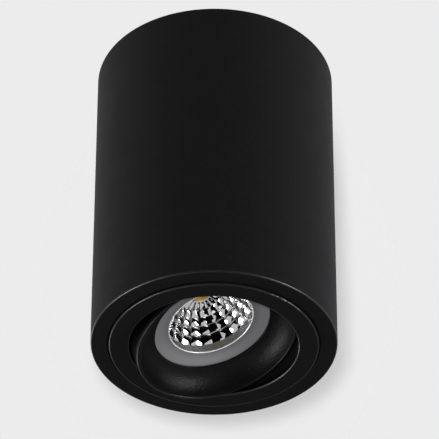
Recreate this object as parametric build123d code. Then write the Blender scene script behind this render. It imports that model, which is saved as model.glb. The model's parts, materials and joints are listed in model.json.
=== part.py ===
from build123d import *
import math
import os

# A surface mounted ceiling downlight. A round body hangs from the ceiling, a trim insert turns in the
# body's lower end, and a lamp ring tilts in the insert. The ceiling is the plane z = 0, the body hangs
# along -Z, the viewer of the rest pose stands on the -Y side, and all sizes are in millimetres.

# Body
BODY_DIA = 95.0
BODY_HEIGHT = 130.0
BODY_WALL = 2.2
BODY_EDGE_ROUND = 0.45
BODY_CORNER_ROUND = 1.5
FRONT_FLANGE = 3.6
TRIM_RECESS = 1.2
RECESS_EDGE_ROUND = 0.3

# Trim ring and its skirt
TRIM_DIA = 80.8
TRIM_OPENING_DIA = 65.0
TRIM_PROUD = 0.8
TRIM_LIP = 1.5
TRIM_EDGE_ROUND = 0.4
SKIRT_WALL = 3.0
SKIRT_RISE = 12.0
TRIM_RADIAL_GAP = 0.5
CUTOUT_GAP = 0.4
SEAT_GAP = 0.1

# Pose of the photograph: turn of the insert about the body's axis, and tilt of the lamp ring
SWIVEL_AT_REST = -20.0
TILT_AT_REST = 17.0

# Tilt pivot
PIVOT_RISE = 7.2
PIN_DIA = 2.5
PIN_HEAD_DIA = 5.0
PIN_HEAD = 1.0
PIN_DEPTH = 2.8
PIN_RUNNING_GAP = 0.05
PIN_END_GAP = 0.2
WASHER_DIA = 6.4
WASHER_GAP = 0.1
PIVOT_FLAT = 0.35

# Retaining springs of the insert
SPRING_WIDTH = 8.0
SPRING_SHEET = 0.5
SPRING_WALL_GAP = 1.55
SPRING_FOLD = 2.6
SPRING_RISE = 1.6
SPRING_BEND = 1.2
SPRING_FOOT_BEND = 0.8
SPRING_TOE = 2.0
SPRING_FOOT_GAP = 0.15
SPRING_PAD = 1.1
SPRING_SIDE_GAP = 0.6
RIVET_DIA = 2.4
RIVET_HEAD_DIA = 4.4
RIVET_HEAD = 0.8
RIVET_RISE = 6.5

# Lamp ring
SWEEP_GAP = 0.35
SKIRT_GAP = 0.6
RING_FRONT = 6.2
RING_RIM = 0.8
RING_RIM_ROUND = 0.35
RING_BACK = 8.0
BOWL_SAG = 1.6
LIP_OPENING_DIA = 46.3
LIP_RISE = 1.8
LIP_EDGE = 0.9
CUP_RISE = 13.0
CUP_WALL = 1.6

# Lamp
LAMP_DIA = 50.0
LAMP_GAP = 0.3
BEZEL_OPENING_DIA = 34.0
BEZEL_DEPTH = 2.6
BEZEL_DISH = 1.25
BEZEL_LAND_GAP = 0.4
BEZEL_EDGE_ROUND = 0.3
RIM_DEPTH = 5.4
RIM_STEP = 2.0
HEAT_SINK_BACK_DIA = 31.0
HEAT_SINK_LENGTH = 31.3
CLIP_WIRE = 1.6
CLIP_GAP = 0.05
CLIP_GROOVE = 0.7
CLIP_ARC = 322.0

# Reflector and light source
REFLECTOR_MOUTH_DIA = 33.4
REFLECTOR_THROAT_DIA = 9.4
REFLECTOR_COLLAR = 2.45
REFLECTOR_DEPTH = 11.85
REFLECTOR_WALL = 0.9
REFLECTOR_FLANGE_DIA = 38.8
REFLECTOR_FLANGE = 0.8
FACET_COLUMNS = 24
FACET_ROWS = 5
FACET_SPREAD = 0.75
EMITTER_DIA = 8.8
EMITTER_THICK = 0.7
LED_BOARD_DIA = 18.0
LED_BOARD_THICK = 1.2
PART_GAP = 0.1
PLATFORM = 3.4

# Lamp base, pins and driver
BASE_SPIGOT = 3.0
BASE_NECK = 7.0
BASE_DIA = 22.6
BASE_BLOCK = 7.2
BASE_WALL = 1.5
LAMP_PIN_SPACING = 10.0
LAMP_PIN_NECK_DIA = 3.1
LAMP_PIN_HEAD_DIA = 4.9
LAMP_PIN_NECK = 3.3
LAMP_PIN_HEAD = 3.0
DRIVER_BOARD_THICK = 1.6
DRIVER_BOARD_WIDTH = 17.0
DRIVER_SIDE_GAP = 0.4
CAPACITOR_DIA = 6.0
CAPACITOR_LENGTH = 9.0
COIL_SIZE = 5.0

# Lampholder
HOLDER_DIA = 25.6
HOLDER_DEPTH = 15.3
HOLDER_FACE = 2.8
HOLDER_CHAMBER = 7.0
HOLDER_SLOT_GAP = 0.25
HOLDER_TWIST = 32.0
HOLDER_EDGE_ROUND = 1.2
CONTACT_SHEET = 0.5
CONTACT_POST_DIA = 1.6

# Ceiling plate and the brackets welded under it
PLATE_THICK = 1.5
PLATE_GAP = 0.5
SLOT_SPACING = 60.0
SLOT_LENGTH = 12.0
SLOT_WIDTH = 4.5
BRACKET_WIDTH = 14.0
BRACKET_DROP = 16.0
BRACKET_FOOT = 7.0
BRACKET_SHEET = 1.5
WELL_DIA = 20.0
WELL_DEPTH = 2.0
WELL_SLOPE = 1.0

# Cable entry
CABLE_BORE_DIA = 8.0
CABLE_HOLE_DIA = 12.0
GROMMET_DIA = 17.6
GROMMET_FLANGE = 1.7
GROMMET_FIT = 0.05

# Side screws, nuts and threads
SET_SCREW_DIA = 4.0
SET_SCREW_LENGTH = 8.0
SET_SCREW_DROP = 10.0
SET_SCREW_RECESS = 0.4
SET_SCREW_SOCKET = 2.0
SET_SCREW_HOLE_GAP = 0.2
NUT_FLATS = 7.0
NUT_HEIGHT = 3.2
THREAD_GAP = 0.05
SCREW_END_SHORT = 0.2

# Terminal block
BLOCK_LENGTH = 24.6
BLOCK_WIDTH = 17.0
BLOCK_HEIGHT = 13.0
BLOCK_WELL_GAP = 0.4
BLOCK_EDGE_ROUND = 0.8
POLE_PITCH = 8.0
POLE_DROP = 7.0
POLES = 3
INSERT_DIA = 5.0
INSERT_BORE_DIA = 3.2
INSERT_INSET = 1.0
TERMINAL_SCREW_DIA = 3.0
TERMINAL_SCREW_INSET = 4.0
TERMINAL_SCREW_SINK = 0.8
BLOCK_SCREW_DIA = 3.0
BLOCK_SCREW_HEAD_DIA = 5.4
BLOCK_SCREW_HEAD = 2.0

# Earth screw and tag
EARTH_X = 14.0
EARTH_Y = -30.0
EARTH_SCREW_DIA = 4.0
EARTH_HEAD_DIA = 7.6
EARTH_HEAD = 2.6
TAG_DIA = 8.0
TAG_SHEET = 0.8
TAG_BARREL_DIA = 3.2
TAG_BARREL = 6.0
TAG_NECK = 0.6

# Leads: wire size, and the points of each route between its two ends
WIRE_DIA = 1.8
WIRE_ENTRY = 2.2
WIRE_RUN = 4.0
WIRE_BEND_SHARE = 0.45
WIRE_HOLE_GAP = 0.2
LEAD_SPLIT_GAP = 0.1
LIVE_UPPER_ROUTE = [(0, 1.4, -34), (0, 1.4, -25), (3.5, 6.5, -13.5)]
NEUTRAL_UPPER_ROUTE = [(0, -1.4, -34), (0, -1.4, -25), (3.5, -1, -13.5)]
LIVE_LOWER_ROUTE = [(-22, 8.6, -53.5), (-12.2, 5.2, -46.5), (0, 1.4, -46), (0, 1.4, -34)]
NEUTRAL_LOWER_ROUTE = [(-15.7, 5.4, -51.5), (-9.4, 1.3, -44.5), (0, -1.4, -44), (0, -1.4, -34)]
EARTH_ROUTE = [(35.5, -23, -5.5), (36.5, -12, -8)]

# Radii and heights that follow from the sizes above
BODY_R = BODY_DIA / 2
BODY_INNER_R = BODY_R - BODY_WALL
TRIM_R = TRIM_DIA / 2
OPENING_R = TRIM_OPENING_DIA / 2
LAMP_R = LAMP_DIA / 2
LIP_R = LIP_OPENING_DIA / 2
PIN_R = PIN_DIA / 2
FLANGE_TOP = FRONT_FLANGE - PIVOT_RISE
TRIM_FACE = -PIVOT_RISE - TRIM_PROUD
SWEEP_R = math.hypot(OPENING_R, TRIM_FACE + TRIM_LIP) - SWEEP_GAP
SKIRT_IN_R = SWEEP_R + SKIRT_GAP
SKIRT_OUT_R = SKIRT_IN_R + SKIRT_WALL
CUTOUT_R = SKIRT_OUT_R + CUTOUT_GAP
RECESS_R = TRIM_R + TRIM_RADIAL_GAP
PIVOT_FLAT_Y = SWEEP_R - PIVOT_FLAT
LAMP_SEAT = LIP_RISE + LIP_EDGE
LAMP_FRONT = LAMP_SEAT + PART_GAP
CUP_BORE_R = LAMP_R + LAMP_GAP
CLIP_GROOVE_R = CUP_BORE_R + CLIP_GROOVE
RIM_BACK = LAMP_FRONT + RIM_DEPTH
BEZEL_BACK = LAMP_FRONT + BEZEL_DEPTH
MOUTH_R = REFLECTOR_MOUTH_DIA / 2
THROAT_R = REFLECTOR_THROAT_DIA / 2
FACETS_FRONT = BEZEL_BACK + REFLECTOR_COLLAR
REFLECTOR_END = FACETS_FRONT + REFLECTOR_DEPTH
LED_FACE = REFLECTOR_END + PART_GAP
LED_BACK = LED_FACE + LED_BOARD_THICK
HEAT_SINK_BACK = LAMP_FRONT + HEAT_SINK_LENGTH
HEAT_SINK_BACK_R = HEAT_SINK_BACK_DIA / 2
DRIVER_R = HEAT_SINK_BACK_R - BASE_SPIGOT
DRIVER_FLOOR = LED_BACK + PLATFORM
BASE_R = BASE_DIA / 2
BASE_SHOULDER = HEAT_SINK_BACK + BASE_NECK
BASE_BACK = BASE_SHOULDER + BASE_BLOCK
HOLDER_FRONT = BASE_BACK + PART_GAP
HOLDER_BACK = HOLDER_FRONT + HOLDER_DEPTH
HOLDER_FLOOR = HOLDER_FRONT + HOLDER_FACE + HOLDER_CHAMBER
LAMP_PIN_X = LAMP_PIN_SPACING / 2
PLATE_R = BODY_INNER_R - PLATE_GAP
BRACKET_OUT_X = math.sqrt(PLATE_R**2 - (BRACKET_WIDTH / 2) ** 2)
BRACKET_IN_X = BRACKET_OUT_X - BRACKET_SHEET
WELL_UNDER_R = WELL_DIA / 2 + WELL_SLOPE + PLATE_THICK
BLOCK_X = WELL_UNDER_R + BLOCK_WELL_GAP + BLOCK_WIDTH / 2
POLE_Z = -PLATE_THICK - POLE_DROP
BLOCK_Z = -PLATE_THICK - BLOCK_HEIGHT

# The insert is drawn about the pivot with its pins along Y, and the lamp ring looking straight down.
TRIM_PLACE = Pos(0, 0, PIVOT_RISE - BODY_HEIGHT) * Rot(0, 0, SWIVEL_AT_REST)
RING_PLACE = TRIM_PLACE * Rot(0, -TILT_AT_REST, 0)
OPPOSITE = Rot(0, 0, 180)


def section(points, rounds=()):
    """Upright section through (radius, height) corners; rounds pairs a corner's index with its radius."""
    face = make_face(Polyline(*points, close=True))
    for index, radius in rounds:
        corner = Vector(*points[index])
        nearest = min(face.vertices(), key=lambda v: (v.center() - corner).length)
        face = fillet(nearest, radius)
    return Plane.XZ * face


def turned(points, rounds=()):
    """Solid turned about Z from a section."""
    return revolve(section(points, rounds), Axis.Z)


def rod(radius, start, end):
    """Round rod between two points."""
    along = Vector(*end) - Vector(*start)
    return Solid.make_cylinder(radius, along.length, Plane(Vector(*start), z_dir=along))


def bored_rod(radius, bore, start, end):
    """Round rod with a hole along it."""
    return rod(radius, start, end) - rod(bore, start, end)


def block(low, high):
    """Upright box between two corners."""
    size = Vector(*high) - Vector(*low)
    return Pos(*low) * Box(*size, align=(Align.MIN, Align.MIN, Align.MIN))


def pair(solid):
    """A solid and its twin half a turn round the axis."""
    return Part() + [solid, OPPOSITE * solid]


def wire(points):
    """Round wire along straight runs, with each bend as wide as its runs allow."""
    corners = [Vector(*point) for point in points]
    radii = []
    for before, corner, after in zip(corners, corners[1:], corners[2:]):
        turn = math.radians((corner - before).get_angle(after - corner))
        shorter = min((corner - before).length, (after - corner).length)
        radii.append(WIRE_BEND_SHARE * shorter / math.tan(turn / 2))
    path = FilletPolyline(*corners, radius=radii)
    print("wire bends, mm:", [round(radius, 1) for radius in radii])
    return sweep(Plane(path @ 0, z_dir=path % 0) * Circle(WIRE_DIA / 2), path=path)


def body_tube():
    flange_top = FRONT_FLANGE - BODY_HEIGHT
    recess_floor = TRIM_RECESS - BODY_HEIGHT
    points = [
        (BODY_R, 0),
        (BODY_R, -BODY_HEIGHT),
        (RECESS_R, -BODY_HEIGHT),
        (RECESS_R, recess_floor),
        (CUTOUT_R, recess_floor),
        (CUTOUT_R, flange_top),
        (BODY_INNER_R, flange_top),
        (BODY_INNER_R, 0),
    ]
    rounds = [(0, BODY_EDGE_ROUND), (1, BODY_EDGE_ROUND), (2, RECESS_EDGE_ROUND), (6, BODY_CORNER_ROUND)]
    hole_r = SET_SCREW_DIA / 2 + SET_SCREW_HOLE_GAP
    hole = rod(hole_r, (BRACKET_OUT_X, 0, -SET_SCREW_DROP), (BODY_R + BODY_WALL, 0, -SET_SCREW_DROP))
    return turned(points, rounds) - pair(hole)


def ceiling_plate():
    well_r = WELL_DIA / 2
    hole_r = CABLE_HOLE_DIA / 2
    points = [
        (PLATE_R, 0),
        (well_r + WELL_SLOPE, 0),
        (well_r, -WELL_DEPTH),
        (hole_r, -WELL_DEPTH),
        (hole_r, -WELL_DEPTH - PLATE_THICK),
        (well_r + PLATE_THICK, -WELL_DEPTH - PLATE_THICK),
        (WELL_UNDER_R, -PLATE_THICK),
        (PLATE_R, -PLATE_THICK),
    ]
    slot = Pos(0, SLOT_SPACING / 2, -PLATE_THICK) * extrude(
        SlotOverall(SLOT_LENGTH, SLOT_WIDTH, rotation=90), PLATE_THICK
    )
    earth_r = EARTH_SCREW_DIA / 2 + THREAD_GAP
    earth_hole = rod(earth_r, (EARTH_X, EARTH_Y, -PLATE_THICK), (EARTH_X, EARTH_Y, 0))
    block_r = BLOCK_SCREW_DIA / 2 + THREAD_GAP
    block_hole = rod(block_r, (BLOCK_X, block_screw_y(), -PLATE_THICK), (BLOCK_X, block_screw_y(), 0))
    return turned(points) - pair(slot) - earth_hole - block_hole


def side_brackets():
    half = BRACKET_WIDTH / 2
    foot_end = BRACKET_IN_X - BRACKET_FOOT
    foot = block((foot_end, -half, -PLATE_THICK - BRACKET_SHEET), (BRACKET_OUT_X, half, -PLATE_THICK))
    leg = block((BRACKET_IN_X, -half, -BRACKET_DROP), (BRACKET_OUT_X, half, -PLATE_THICK))
    thread_r = SET_SCREW_DIA / 2 + THREAD_GAP
    thread = rod(thread_r, (BRACKET_IN_X, 0, -SET_SCREW_DROP), (BRACKET_OUT_X, 0, -SET_SCREW_DROP))
    return pair(foot + leg - thread)


def set_screws():
    outer = BODY_R - SET_SCREW_RECESS
    inner = outer - SET_SCREW_LENGTH
    screw = rod(SET_SCREW_DIA / 2, (inner, 0, -SET_SCREW_DROP), (outer, 0, -SET_SCREW_DROP))
    socket = Plane((outer, 0, -SET_SCREW_DROP), z_dir=(-1, 0, 0)) * extrude(
        RegularPolygon(SET_SCREW_SOCKET / 2, 6, major_radius=False), SET_SCREW_SOCKET
    )
    return pair(screw - socket)


def clinch_nuts():
    outline = RegularPolygon(NUT_FLATS / 2, 6, major_radius=False) - Circle(SET_SCREW_DIA / 2 + THREAD_GAP)
    nut = Plane((BRACKET_IN_X, 0, -SET_SCREW_DROP), z_dir=(-1, 0, 0)) * extrude(outline, NUT_HEIGHT)
    return pair(nut)


def cable_grommet():
    bore_r = CABLE_BORE_DIA / 2
    neck_r = CABLE_HOLE_DIA / 2 - GROMMET_FIT
    flange_r = GROMMET_DIA / 2
    plate_top = -WELL_DEPTH
    plate_under = plate_top - PLATE_THICK
    points = [
        (bore_r, plate_top + GROMMET_FLANGE),
        (flange_r, plate_top + GROMMET_FLANGE),
        (flange_r, plate_top),
        (neck_r, plate_top),
        (neck_r, plate_under),
        (flange_r, plate_under),
        (flange_r, plate_under - GROMMET_FLANGE),
        (bore_r, plate_under - GROMMET_FLANGE),
    ]
    soft = GROMMET_FLANGE / 3
    return turned(points, [(1, soft), (6, soft)])


def pole_places():
    """Middle of each pole of the terminal block, along Y: earth, neutral and live."""
    return [POLE_PITCH * (pole - (POLES - 1) / 2) for pole in range(POLES)]


def block_screw_y():
    """The block's own screw stands between its first two poles."""
    return pole_places()[0] + POLE_PITCH / 2


def terminal_screw_places():
    reach = BLOCK_WIDTH / 2 - TERMINAL_SCREW_INSET
    return [(BLOCK_X + side * reach, y) for y in pole_places() for side in (-1, 1)]


def terminal_block():
    half = BLOCK_WIDTH / 2
    end = BLOCK_LENGTH / 2
    body = block((BLOCK_X - half, -end, BLOCK_Z), (BLOCK_X + half, end, -PLATE_THICK))
    body = fillet(body.edges().filter_by(Axis.Z), BLOCK_EDGE_ROUND)
    for y in pole_places():
        body -= rod(INSERT_DIA / 2 + THREAD_GAP, (BLOCK_X - half, y, POLE_Z), (BLOCK_X + half, y, POLE_Z))
    for x, y in terminal_screw_places():
        body -= rod(TERMINAL_SCREW_DIA / 2 + THREAD_GAP, (x, y, BLOCK_Z), (x, y, POLE_Z))
    y = block_screw_y()
    body -= rod(BLOCK_SCREW_DIA / 2 + THREAD_GAP, (BLOCK_X, y, BLOCK_Z), (BLOCK_X, y, -PLATE_THICK))
    head_r = BLOCK_SCREW_HEAD_DIA / 2 + THREAD_GAP
    return body - rod(head_r, (BLOCK_X, y, BLOCK_Z), (BLOCK_X, y, BLOCK_Z + BLOCK_SCREW_HEAD))


def terminal_inserts():
    low = BLOCK_X - BLOCK_WIDTH / 2 + INSERT_INSET
    high = BLOCK_X + BLOCK_WIDTH / 2 - INSERT_INSET
    bore = INSERT_BORE_DIA / 2
    inserts = [bored_rod(INSERT_DIA / 2, bore, (low, y, POLE_Z), (high, y, POLE_Z)) for y in pole_places()]
    threads = [
        rod(TERMINAL_SCREW_DIA / 2 + THREAD_GAP, (x, y, BLOCK_Z), (x, y, POLE_Z))
        for x, y in terminal_screw_places()
    ]
    return Part() + inserts - threads


def terminal_screws():
    tip = POLE_Z - INSERT_BORE_DIA / 2
    head = BLOCK_Z + TERMINAL_SCREW_SINK
    radius = TERMINAL_SCREW_DIA / 2
    return Part() + [rod(radius, (x, y, head), (x, y, tip)) for x, y in terminal_screw_places()]


def terminal_block_screw():
    y = block_screw_y()
    head = rod(BLOCK_SCREW_HEAD_DIA / 2, (BLOCK_X, y, BLOCK_Z), (BLOCK_X, y, BLOCK_Z + BLOCK_SCREW_HEAD))
    return head + rod(BLOCK_SCREW_DIA / 2, (BLOCK_X, y, BLOCK_Z), (BLOCK_X, y, -SCREW_END_SHORT))


def earth_screw():
    under = -PLATE_THICK - TAG_SHEET
    head = rod(EARTH_HEAD_DIA / 2, (EARTH_X, EARTH_Y, under - EARTH_HEAD), (EARTH_X, EARTH_Y, under))
    return head + rod(EARTH_SCREW_DIA / 2, (EARTH_X, EARTH_Y, under), (EARTH_X, EARTH_Y, -SCREW_END_SHORT))


def tag_barrel_ends():
    """Inner and outer end of the tag's crimped barrel, which lies along X."""
    start = EARTH_X + max(TAG_DIA, EARTH_HEAD_DIA) / 2 + TAG_NECK
    z = -PLATE_THICK - TAG_BARREL_DIA / 2
    return (start, EARTH_Y, z), (start + TAG_BARREL, EARTH_Y, z)


def earth_tag():
    ring = bored_rod(
        TAG_DIA / 2,
        EARTH_SCREW_DIA / 2 + THREAD_GAP,
        (EARTH_X, EARTH_Y, -PLATE_THICK - TAG_SHEET),
        (EARTH_X, EARTH_Y, -PLATE_THICK),
    )
    start, end = tag_barrel_ends()
    neck = block(
        (EARTH_X + EARTH_SCREW_DIA / 2 + TAG_NECK, EARTH_Y - TAG_BARREL_DIA / 2, -PLATE_THICK - TAG_SHEET),
        (start[0] + TAG_NECK, EARTH_Y + TAG_BARREL_DIA / 2, -PLATE_THICK),
    )
    return ring + neck + rod(TAG_BARREL_DIA / 2, start, end)


def into_pole(y, side):
    """A wire's last two points, in a pole's mouth: side -1 is the block's inner face, 1 its outer face."""
    mouth = BLOCK_X + side * (BLOCK_WIDTH / 2 - INSERT_INSET)
    return [(mouth + side * WIRE_ENTRY, y, POLE_Z), (mouth - side * WIRE_ENTRY, y, POLE_Z)]


def earth_lead():
    _, start = tag_barrel_ends()
    straight = (start[0] + WIRE_RUN, start[1], start[2])
    earth, _, _ = pole_places()
    return wire([start, straight, *EARTH_ROUTE, *into_pole(earth, 1)])


def lamp_leads_upper():
    _, neutral, live = pole_places()
    return Part() + [
        wire([*LIVE_UPPER_ROUTE, *into_pole(live, -1)]),
        wire([*NEUTRAL_UPPER_ROUTE, *into_pole(neutral, -1)]),
    ]


def lamp_leads_lower():
    leads = []
    for side, route in ((1, NEUTRAL_LOWER_ROUTE), (-1, LIVE_LOWER_ROUTE)):
        ends = [(side * LAMP_PIN_X, 0, HOLDER_FLOOR + CONTACT_SHEET), (side * LAMP_PIN_X, 0, HOLDER_BACK)]
        in_holder = [tuple((RING_PLACE * Pos(*end)).position) for end in ends]
        x, y, z = route[-1]
        leads.append(wire([*in_holder, *route[:-1], (x, y, z - LEAD_SPLIT_GAP)]))
    return Part() + leads


def trim_ring():
    seat = TRIM_RECESS - PIVOT_RISE - SEAT_GAP
    points = [
        (OPENING_R, TRIM_FACE),
        (TRIM_R, TRIM_FACE),
        (TRIM_R, seat),
        (SKIRT_OUT_R, seat),
        (SKIRT_OUT_R, SKIRT_RISE),
        (SKIRT_IN_R, SKIRT_RISE),
        (SKIRT_IN_R, TRIM_FACE + TRIM_LIP),
        (OPENING_R, TRIM_FACE + TRIM_LIP),
    ]
    ring = turned(points, [(0, TRIM_EDGE_ROUND), (1, TRIM_EDGE_ROUND)])
    pin_hole = rod(PIN_R, (0, 0, 0), (0, SKIRT_OUT_R, 0))
    head_hole = rod(PIN_HEAD_DIA / 2, (0, pin_head_seat(), 0), (0, SKIRT_OUT_R, 0))
    pad_half = SPRING_WIDTH / 2 + SPRING_SIDE_GAP
    pad = block((spring_pad_x(), -pad_half, spring_leg_foot()), (SKIRT_OUT_R, pad_half, SKIRT_RISE))
    rivet_hole = rod(RIVET_DIA / 2, (0, 0, RIVET_RISE), (SKIRT_OUT_R, 0, RIVET_RISE))
    return TRIM_PLACE * (ring - pair(pin_hole) - pair(head_hole) - pair(pad) - pair(rivet_hole))


def pin_head_seat():
    """The pin's head lies below the skirt's outside, all across its width."""
    return math.sqrt(SKIRT_OUT_R**2 - (PIN_HEAD_DIA / 2) ** 2) - PIN_HEAD - PART_GAP


def spring_pad_x():
    return SKIRT_OUT_R - SPRING_PAD


def spring_leg_foot():
    return FLANGE_TOP + SPRING_FOOT_GAP


def spring_clips():
    leg = spring_pad_x() + SPRING_SHEET / 2
    toe = BODY_INNER_R - SPRING_WALL_GAP
    foot_z = FLANGE_TOP + SPRING_SHEET / 2 + SPRING_FOOT_GAP
    path = FilletPolyline(
        (leg, spring_leg_foot() + SPRING_TOE),
        (leg, SKIRT_RISE + SPRING_RISE),
        (leg + SPRING_FOLD, SKIRT_RISE + SPRING_RISE),
        (toe - SPRING_TOE, foot_z),
        (toe, foot_z + SPRING_TOE),
        radius=[SPRING_BEND, SPRING_BEND, SPRING_FOOT_BEND],
    )
    strip = Plane.XZ * trace(path, SPRING_SHEET)
    clip = extrude(strip, SPRING_WIDTH / 2, both=True)
    clip -= rod(RIVET_DIA / 2, (0, 0, RIVET_RISE), (leg + SPRING_SHEET / 2, 0, RIVET_RISE))
    return TRIM_PLACE * pair(clip)


def clip_rivets():
    under_head = spring_pad_x() + SPRING_SHEET
    inner = math.sqrt(SKIRT_IN_R**2 - (RIVET_DIA / 2) ** 2)
    head = rod(RIVET_HEAD_DIA / 2, (under_head, 0, RIVET_RISE), (under_head + RIVET_HEAD, 0, RIVET_RISE))
    return TRIM_PLACE * pair(head + rod(RIVET_DIA / 2, (inner, 0, RIVET_RISE), (under_head, 0, RIVET_RISE)))


def pivot_pins():
    seat = pin_head_seat()
    head = rod(PIN_HEAD_DIA / 2, (0, seat, 0), (0, seat + PIN_HEAD, 0))
    tip = PIVOT_FLAT_Y - PIN_DEPTH + PIN_END_GAP
    return TRIM_PLACE * pair(head + rod(PIN_R, (0, tip, 0), (0, seat, 0)))


def friction_washers():
    outer = math.sqrt(SKIRT_IN_R**2 - (WASHER_DIA / 2) ** 2) - WASHER_GAP
    washer = bored_rod(
        WASHER_DIA / 2, PIN_R + PIN_RUNNING_GAP, (0, PIVOT_FLAT_Y + WASHER_GAP, 0), (0, outer, 0)
    )
    return TRIM_PLACE * pair(washer)


def gimbal_ring():
    rim_out = math.sqrt(SWEEP_R**2 - RING_FRONT**2)
    rim_in = rim_out - RING_RIM
    back_out = math.sqrt(SWEEP_R**2 - RING_BACK**2)
    cup_out = CLIP_GROOVE_R + CUP_WALL
    rim = Vector(rim_in, -RING_FRONT)
    lip = Vector(LIP_R, LIP_RISE)
    chord = lip - rim
    bow = Vector(-chord.Y, chord.X).normalized() * -BOWL_SAG
    outline = [
        ThreePointArc((rim_out, -RING_FRONT), (SWEEP_R, 0), (back_out, RING_BACK)),
        Polyline(
            (back_out, RING_BACK),
            (cup_out, RING_BACK),
            (cup_out, CUP_RISE),
            (CUP_BORE_R, CUP_RISE),
            (CUP_BORE_R, LAMP_SEAT),
            (LIP_R, LAMP_SEAT),
            lip,
        ),
        ThreePointArc(lip, (lip + rim) / 2 + bow, rim),
        Line(rim, (rim_out, -RING_FRONT)),
    ]
    face = make_face(Curve() + outline)
    rim_corners = face.vertices().sort_by(Axis.Y)[:2]
    face = fillet(rim_corners, RING_RIM_ROUND)
    ring = revolve(Plane.XZ * face, Axis.Z)
    groove_back = RIM_BACK + CLIP_WIRE + 2 * CLIP_GAP
    groove = bored_rod(CLIP_GROOVE_R, CUP_BORE_R, (0, 0, RIM_BACK), (0, 0, groove_back))
    flat = block((-LAMP_R, PIVOT_FLAT_Y, -LAMP_R), (LAMP_R, SWEEP_R, LAMP_R))
    pin_hole = rod(PIN_R + PIN_RUNNING_GAP, (0, PIVOT_FLAT_Y - PIN_DEPTH, 0), (0, SWEEP_R, 0))
    return RING_PLACE * (ring - groove - pair(flat) - pair(pin_hole))


def lamp_circlip():
    centre = CLIP_GROOVE_R - CLIP_WIRE / 2 - CLIP_GAP
    wire_face = Plane.XZ * Pos(centre, RIM_BACK + CLIP_GAP + CLIP_WIRE / 2) * Circle(CLIP_WIRE / 2)
    return RING_PLACE * revolve(wire_face, Axis.Z, CLIP_ARC)


def lamp_bezel():
    opening = BEZEL_OPENING_DIA / 2
    points = [
        (LAMP_R, LAMP_FRONT),
        (LAMP_R, BEZEL_BACK),
        (opening, BEZEL_BACK),
        (opening, LAMP_FRONT + BEZEL_DISH),
        (LIP_R + BEZEL_LAND_GAP, LAMP_FRONT),
    ]
    return RING_PLACE * turned(points, [(0, BEZEL_EDGE_ROUND), (3, BEZEL_EDGE_ROUND)])


def reflector_rows():
    """Radius and height of each row of the reflector, from its mouth to its throat, on a parabola."""
    rows = []
    for row in range(FACET_ROWS + 1):
        share = (1 - row / FACET_ROWS) ** FACET_SPREAD
        rows.append((THROAT_R + (MOUTH_R - THROAT_R) * share, REFLECTOR_END - REFLECTOR_DEPTH * share**2))
    return rows


def lamp_reflector():
    rows = reflector_rows()
    flange_r = REFLECTOR_FLANGE_DIA / 2
    flange_back = BEZEL_BACK + REFLECTOR_FLANGE
    outside = [(r + REFLECTOR_WALL, z) for r, z in rows]
    inside = [(0, REFLECTOR_END), (0, BEZEL_BACK)]
    flange = [(flange_r, BEZEL_BACK), (flange_r, flange_back), (MOUTH_R + REFLECTOR_WALL, flange_back)]
    facets = [Pos(0, 0, z) * RegularPolygon(r, FACET_COLUMNS) for r, z in rows]
    collar = rod(MOUTH_R, (0, 0, BEZEL_BACK), (0, 0, FACETS_FRONT))
    return RING_PLACE * (turned([*inside, *flange, *outside]) - loft(facets, ruled=True) - collar)


def led_board():
    return RING_PLACE * rod(LED_BOARD_DIA / 2, (0, 0, LED_FACE), (0, 0, LED_BACK))


def led_emitter():
    return RING_PLACE * rod(EMITTER_DIA / 2, (0, 0, LED_FACE - EMITTER_THICK), (0, 0, LED_FACE))


def lamp_housing():
    pocket_r = REFLECTOR_FLANGE_DIA / 2 + PART_GAP
    pocket_floor = BEZEL_BACK + REFLECTOR_FLANGE + PART_GAP
    board_r = LED_BOARD_DIA / 2 + PART_GAP
    waist = (pocket_floor + LED_FACE) / 2
    waist_r = MOUTH_R + REFLECTOR_WALL + PART_GAP
    points = [
        (LAMP_R, BEZEL_BACK),
        (LAMP_R, RIM_BACK),
        (LAMP_R - RIM_STEP, RIM_BACK),
        (HEAT_SINK_BACK_R, HEAT_SINK_BACK),
        (DRIVER_R, HEAT_SINK_BACK),
        (DRIVER_R, DRIVER_FLOOR),
        (0, DRIVER_FLOOR),
        (0, LED_BACK),
        (board_r, LED_BACK),
        (board_r, LED_FACE),
        (waist_r, waist),
        (waist_r, pocket_floor),
        (pocket_r, pocket_floor),
        (pocket_r, BEZEL_BACK),
    ]
    return RING_PLACE * turned(points)


def driver_span():
    """Front and back end of the driver board, between the heat sink and the base."""
    return DRIVER_FLOOR + DRIVER_SIDE_GAP, BASE_BACK - BASE_WALL - DRIVER_SIDE_GAP


def driver_board():
    front, back = driver_span()
    half = DRIVER_BOARD_WIDTH / 2
    return RING_PLACE * block((-half, -DRIVER_BOARD_THICK / 2, front), (half, DRIVER_BOARD_THICK / 2, back))


def driver_components():
    front, _ = driver_span()
    start = front + COIL_SIZE / 2
    off = (DRIVER_BOARD_THICK + CAPACITOR_DIA) / 2
    capacitor = rod(CAPACITOR_DIA / 2, (0, off, start), (0, off, start + CAPACITOR_LENGTH))
    coil = block(
        (-COIL_SIZE / 2, -DRIVER_BOARD_THICK / 2 - COIL_SIZE, start),
        (COIL_SIZE / 2, -DRIVER_BOARD_THICK / 2, start + COIL_SIZE),
    )
    return RING_PLACE * (Part() + [capacitor, coil])


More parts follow.
